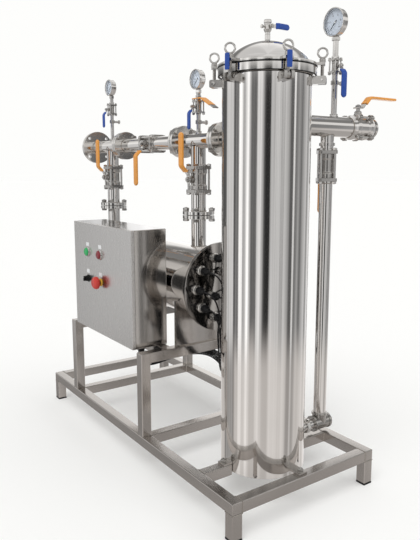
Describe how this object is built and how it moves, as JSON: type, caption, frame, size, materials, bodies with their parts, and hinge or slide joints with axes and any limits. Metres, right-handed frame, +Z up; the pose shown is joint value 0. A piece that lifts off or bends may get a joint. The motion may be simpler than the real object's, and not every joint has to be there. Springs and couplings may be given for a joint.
{
  "type": "skid-mounted water filter housing",
  "caption": "Upright stainless cartridge filter vessel with a swing-bolt lid, on a welded skid with a lamp reactor, control box, flanged header, ball valves and dial gauges.",
  "frame": {"origin": "on the floor, under the middle of the object's overall extents", "axes": "+Z up; +Y along the skid from the vessel to the open outlet flange, and normal to that flange; +X across the skid, from the control box towards the inlet valve"},
  "size_m": [1.009, 1.59, 1.727],
  "materials": {
    "black_paint": "matt",
    "black_plastic": "moulded, matt",
    "black_rubber": "moulded rubber",
    "blue_vinyl": "dipped vinyl",
    "clear_glass": "clear",
    "dark_red_plastic": "glossy",
    "dial_white": "printed matt",
    "filter_media": "pleated felt",
    "green_plastic": "glossy",
    "grey_plastic": "moulded, matt",
    "orange_vinyl": "dipped vinyl",
    "quartz": "clear fused quartz",
    "red_plastic": "glossy",
    "stainless_polished": "mirror-polished stainless steel",
    "stainless_satin": "satin-ground stainless steel"
  },
  "bodies": {
    "skid": {"anchor_bolts": "stainless_satin", "base_frame": "stainless_satin", "cable_gland": "black_plastic", "cartridge_plates": "stainless_satin", "control_box": "stainless_satin", "control_gear": "grey_plastic", "drop_pipe": "stainless_polished", "filter_cartridges": "filter_media", "flange_fasteners": "stainless_satin", "foot_pads": "black_plastic", "gaskets": "black_rubber", "gauge_cases": "stainless_polished", "gauge_dials": "dial_white", "gauge_glasses": "clear_glass", "gauge_valves": "stainless_satin", "header_pipe": "stainless_polished", "inlet_pipe": "stainless_polished", "inlet_valves": "stainless_satin", "lamp_cable_1": "black_rubber", "lamp_cable_2": "black_rubber", "lamp_cable_3": "black_rubber", "lamp_caps": "black_plastic", "lamp_gland_nuts": "stainless_polished", "line_valves": "stainless_satin", "quartz_sleeves": "quartz", "reactor_end_plate": "stainless_satin", "reactor_shell": "stainless_polished", "riser_pipes": "stainless_polished", "stand_frame": "stainless_satin", "swing_pins": "stainless_satin", "vent_valve": "stainless_satin", "vessel_fittings": "stainless_satin", "vessel_flange": "stainless_polished", "vessel_lid": "stainless_polished", "vessel_shell": "stainless_polished"},
    "door": {"control_door": "stainless_satin", "operator_collars": "black_plastic"},
    "start_button_body": {"start_button": "green_plastic"},
    "stop_button_body": {"stop_button": "dark_red_plastic"},
    "selector_knob_body": {"selector_knob": "black_plastic"},
    "emergency_stop_body": {"emergency_stop": "red_plastic"},
    "riser_lever_a_body": {"riser_lever_a": "orange_vinyl"},
    "riser_lever_b_body": {"riser_lever_b": "orange_vinyl"},
    "bypass_lever_body": {"bypass_lever": "orange_vinyl"},
    "inlet_lever_body": {"inlet_lever": "orange_vinyl"},
    "drop_lever_body": {"drop_lever": "orange_vinyl"},
    "gauge_lever_a_body": {"gauge_lever_a": "blue_vinyl"},
    "gauge_lever_b_body": {"gauge_lever_b": "blue_vinyl"},
    "gauge_lever_c_body": {"gauge_lever_c": "blue_vinyl"},
    "vent_lever_body": {"vent_lever": "blue_vinyl"},
    "header_lever_body": {"header_lever": "orange_vinyl"},
    "gauge_needle_a_body": {"gauge_needle_a": "black_paint"},
    "gauge_needle_b_body": {"gauge_needle_b": "black_paint"},
    "gauge_needle_c_body": {"gauge_needle_c": "black_paint"},
    "swing_bolt_1_body": {"swing_bolt_1": "stainless_satin"},
    "swing_bolt_2_body": {"swing_bolt_2": "stainless_satin"},
    "swing_bolt_3_body": {"swing_bolt_3": "stainless_satin"},
    "swing_bolt_4_body": {"swing_bolt_4": "stainless_satin"},
    "swing_bolt_5_body": {"swing_bolt_5": "stainless_satin"},
    "swing_bolt_6_body": {"swing_bolt_6": "stainless_satin"}
  },
  "joints": [
    {"name": "swing_bolt_1_swing", "type": "hinge", "parent": "skid", "child": "swing_bolt_1_body", "pos_m": [0.01423, -0.5364, 1.443], "axis": [-0.1736, 0.9848, 0], "range_deg": [0, 150]},
    {"name": "swing_bolt_2_swing", "type": "hinge", "parent": "skid", "child": "swing_bolt_2_body", "pos_m": [-0.10275, -0.39698, 1.443], "axis": [-0.9397, 0.342, 0], "range_deg": [0, 150]},
    {"name": "swing_bolt_3_swing", "type": "hinge", "parent": "skid", "child": "swing_bolt_3_body", "pos_m": [-0.28199, -0.42858, 1.443], "axis": [-0.766, -0.6428, 0], "range_deg": [0, 150]},
    {"name": "swing_bolt_4_swing", "type": "hinge", "parent": "skid", "child": "swing_bolt_4_body", "pos_m": [-0.34424, -0.5996, 1.443], "axis": [0.1736, -0.9848, 0], "range_deg": [0, 150]},
    {"name": "swing_bolt_5_swing", "type": "hinge", "parent": "skid", "child": "swing_bolt_5_body", "pos_m": [-0.22725, -0.73902, 1.443], "axis": [0.9397, -0.342, 0], "range_deg": [0, 150]},
    {"name": "swing_bolt_6_swing", "type": "hinge", "parent": "skid", "child": "swing_bolt_6_body", "pos_m": [-0.04801, -0.70742, 1.443], "axis": [0.766, 0.6428, 0], "range_deg": [0, 150]},
    {"name": "riser_lever_a_turn", "type": "hinge", "parent": "skid", "child": "riser_lever_a_body", "pos_m": [-0.165, 0.605, 1.115], "axis": [-1, 0, 0], "range_deg": [0, 90]},
    {"name": "riser_lever_b_turn", "type": "hinge", "parent": "skid", "child": "riser_lever_b_body", "pos_m": [-0.165, -0.158, 1.115], "axis": [-1, 0, 0], "range_deg": [0, 90]},
    {"name": "bypass_lever_turn", "type": "hinge", "parent": "skid", "child": "bypass_lever_body", "pos_m": [-0.165, 0.215, 1.265], "axis": [-1, 0, 0], "range_deg": [0, 90]},
    {"name": "inlet_lever_turn", "type": "hinge", "parent": "skid", "child": "inlet_lever_body", "pos_m": [0.289, -0.568, 1.31], "axis": [0, 0, 1], "range_deg": [0, 90]},
    {"name": "drop_lever_turn", "type": "hinge", "parent": "skid", "child": "drop_lever_body", "pos_m": [0.128, -0.568, 1.167], "axis": [-0.5736, -0.8192, 0], "range_deg": [0, 90]},
    {"name": "header_lever_turn", "type": "hinge", "parent": "skid", "child": "header_lever_body", "pos_m": [-0.165, -0.158, 1.414], "axis": [0, 0, 1], "range_deg": [0, 90]},
    {"name": "gauge_lever_a_turn", "type": "hinge", "parent": "skid", "child": "gauge_lever_a_body", "pos_m": [-0.165, 0.605, 1.444], "axis": [-1, 0, 0], "range_deg": [0, 90]},
    {"name": "gauge_lever_b_turn", "type": "hinge", "parent": "skid", "child": "gauge_lever_b_body", "pos_m": [-0.165, -0.158, 1.396], "axis": [-1, 0, 0], "range_deg": [0, 90]},
    {"name": "gauge_lever_c_turn", "type": "hinge", "parent": "skid", "child": "gauge_lever_c_body", "pos_m": [0.158, -0.568, 1.525], "axis": [0, -1, 0], "range_deg": [0, 90]},
    {"name": "vent_lever_turn", "type": "hinge", "parent": "skid", "child": "vent_lever_body", "pos_m": [-0.165, -0.568, 1.62], "axis": [0, -1, 0], "range_deg": [0, 90]},
    {"name": "gauge_needle_a_turn", "type": "hinge", "parent": "skid", "child": "gauge_needle_a_body", "pos_m": [-0.165, 0.605, 1.548], "axis": [1, 0, 0], "range_deg": [0, 270]},
    {"name": "gauge_needle_b_turn", "type": "hinge", "parent": "skid", "child": "gauge_needle_b_body", "pos_m": [-0.165, -0.158, 1.5], "axis": [1, 0, 0], "range_deg": [0, 270]},
    {"name": "gauge_needle_c_turn", "type": "hinge", "parent": "skid", "child": "gauge_needle_c_body", "pos_m": [0.158, -0.568, 1.677], "axis": [1, 0, 0], "range_deg": [0, 270]},
    {"name": "door_swing", "type": "hinge", "parent": "skid", "child": "door", "pos_m": [-0.458, 0.389, 0.7], "axis": [0, 0, -1], "range_deg": [0, 110]},
    {"name": "start_button_press", "type": "slide", "parent": "door", "child": "start_button_body", "axis": [1, 0, 0], "range_m": [0, 0.003], "stiffness_N_per_m": 300},
    {"name": "stop_button_press", "type": "slide", "parent": "door", "child": "stop_button_body", "axis": [1, 0, 0], "range_m": [0, 0.003], "stiffness_N_per_m": 300},
    {"name": "emergency_stop_press", "type": "slide", "parent": "door", "child": "emergency_stop_body", "axis": [1, 0, 0], "range_m": [0, 0.004], "stiffness_N_per_m": 500},
    {"name": "selector_turn", "type": "hinge", "parent": "door", "child": "selector_knob_body", "pos_m": [-0.473, 0.241, 0.688], "axis": [1, 0, 0], "range_deg": [0, 90]}
  ]
}
